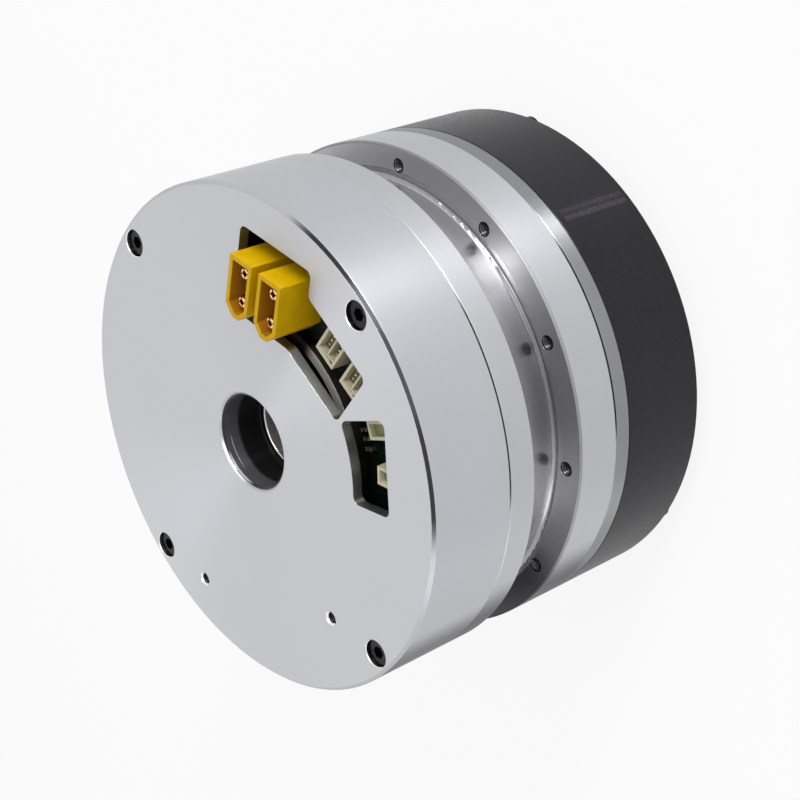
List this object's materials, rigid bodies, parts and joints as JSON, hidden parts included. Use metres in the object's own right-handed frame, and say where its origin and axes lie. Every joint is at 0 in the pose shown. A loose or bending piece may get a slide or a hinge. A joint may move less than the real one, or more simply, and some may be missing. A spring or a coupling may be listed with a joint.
{
  "type": "hollow-shaft robot joint actuator",
  "caption": "Short round robot joint actuator with a hollow shaft, grooved aluminium body, black gearbox end and yellow power sockets at the back.",
  "frame": {"origin": "on the axis, at the output face", "axes": "+Z along the axis from the output face towards the connectors; +X through the small window"},
  "size_m": [0.085, 0.085, 0.0673],
  "materials": {
    "blasted_aluminium": "fine bead-blasted, clear anodised",
    "anodised_aluminium": "turned, clear anodised, satin to bright",
    "satin_aluminium": "turned, satin",
    "black_anodised": "semi-gloss black anodised",
    "polished_steel": "polished rim, ground inside",
    "bearing_steel": "ground",
    "roller_steel": "lapped",
    "gear_steel": "hardened, honed flanks",
    "machined_steel": "turned",
    "ground_pin_steel": "ground and hardened",
    "bush_bronze": "sintered, matt",
    "tube_steel": "drawn, bright end face",
    "magnet_ferrite": "moulded, dark grey",
    "magnet_nickel": "nickel plated",
    "lamination_steel": "stacked sheet edges",
    "copper_wire": "enamelled wire",
    "bare_copper": "bare copper",
    "board_green": "solder mask over glass fibre",
    "chip_plastic": "moulded black",
    "capacitor_can": "bare can",
    "standoff_brass": "nickel free brass",
    "connector_yellow": "moulded nylon",
    "socket_cream": "moulded nylon",
    "pin_gold": "gold plated",
    "sleeve_black": "smooth, glossy",
    "seal_rubber": "moulded",
    "black_screw": "black oxide",
    "zinc_screw": "zinc plated"
  },
  "bodies": {
    "housing": {"gearbox_housing": "black_anodised", "gearbox_screws": "black_screw", "ring_gear": "polished_steel", "output_seal": "seal_rubber", "output_bearing_outer": "bearing_steel", "output_rollers": "roller_steel", "front_bearing_outer": "bearing_steel", "front_bearing_balls": "roller_steel", "rear_bearing_outer": "bearing_steel", "rear_bearing_balls": "roller_steel", "motor_housing": "anodised_aluminium", "stator_core": "lamination_steel", "stator_windings": "copper_wire", "rear_bracket": "satin_aluminium", "bracket_screws": "black_screw", "phase_terminals": "bare_copper", "encoder_board": "board_green", "encoder_sensors": "chip_plastic", "encoder_screws": "black_screw", "driver_board": "board_green", "board_standoffs": "standoff_brass", "board_screws": "zinc_screw", "power_transistors": "chip_plastic", "capacitors": "capacitor_can", "power_connectors": "connector_yellow", "power_pins": "pin_gold", "signal_sockets": "socket_cream", "encoder_sockets": "socket_cream", "rear_cover": "blasted_aluminium", "bore_sleeve": "sleeve_black", "cover_screws": "black_screw"},
    "output": {"output_flange": "satin_aluminium", "planet_carrier": "machined_steel", "planet_pins": "ground_pin_steel", "carrier_screws": "black_screw", "output_bearing_inner": "bearing_steel", "through_tube": "tube_steel", "output_encoder_magnet": "magnet_ferrite"},
    "rotor": {"rotor_shaft": "gear_steel", "rotor_hub": "machined_steel", "rotor_magnets": "magnet_nickel", "rotor_encoder_magnet": "magnet_ferrite", "front_bearing_inner": "bearing_steel", "rear_bearing_inner": "bearing_steel"},
    "planet_1": {"planet_gear_1": "gear_steel", "planet_bush_1": "bush_bronze"},
    "planet_2": {"planet_gear_2": "gear_steel", "planet_bush_2": "bush_bronze"},
    "planet_3": {"planet_gear_3": "gear_steel", "planet_bush_3": "bush_bronze"}
  },
  "joints": [
    {"name": "output_spin", "type": "hinge", "parent": "housing", "child": "output", "pos_m": [0, 0, 0.009], "axis": [0, 0, 1], "continuous": true},
    {"name": "rotor_spin", "type": "hinge", "parent": "housing", "child": "rotor", "pos_m": [0, 0, 0.038], "axis": [0, 0, 1], "continuous": true},
    {"name": "planet_1_spin", "type": "hinge", "parent": "output", "child": "planet_1", "pos_m": [0.022, 0, 0.0186], "axis": [0, 0, 1], "continuous": true},
    {"name": "planet_2_spin", "type": "hinge", "parent": "output", "child": "planet_2", "pos_m": [-0.011, 0.01905, 0.0186], "axis": [0, 0, 1], "continuous": true},
    {"name": "planet_3_spin", "type": "hinge", "parent": "output", "child": "planet_3", "pos_m": [-0.011, -0.01905, 0.0186], "axis": [0, 0, 1], "continuous": true}
  ],
  "couplings": [
    {"joint": "rotor_spin", "follows": "output_spin", "ratio": 6.1111},
    {"joint": "planet_1_spin", "follows": "output_spin", "ratio": -4.9286},
    {"joint": "planet_2_spin", "follows": "output_spin", "ratio": -4.9286},
    {"joint": "planet_3_spin", "follows": "output_spin", "ratio": -4.9286}
  ]
}
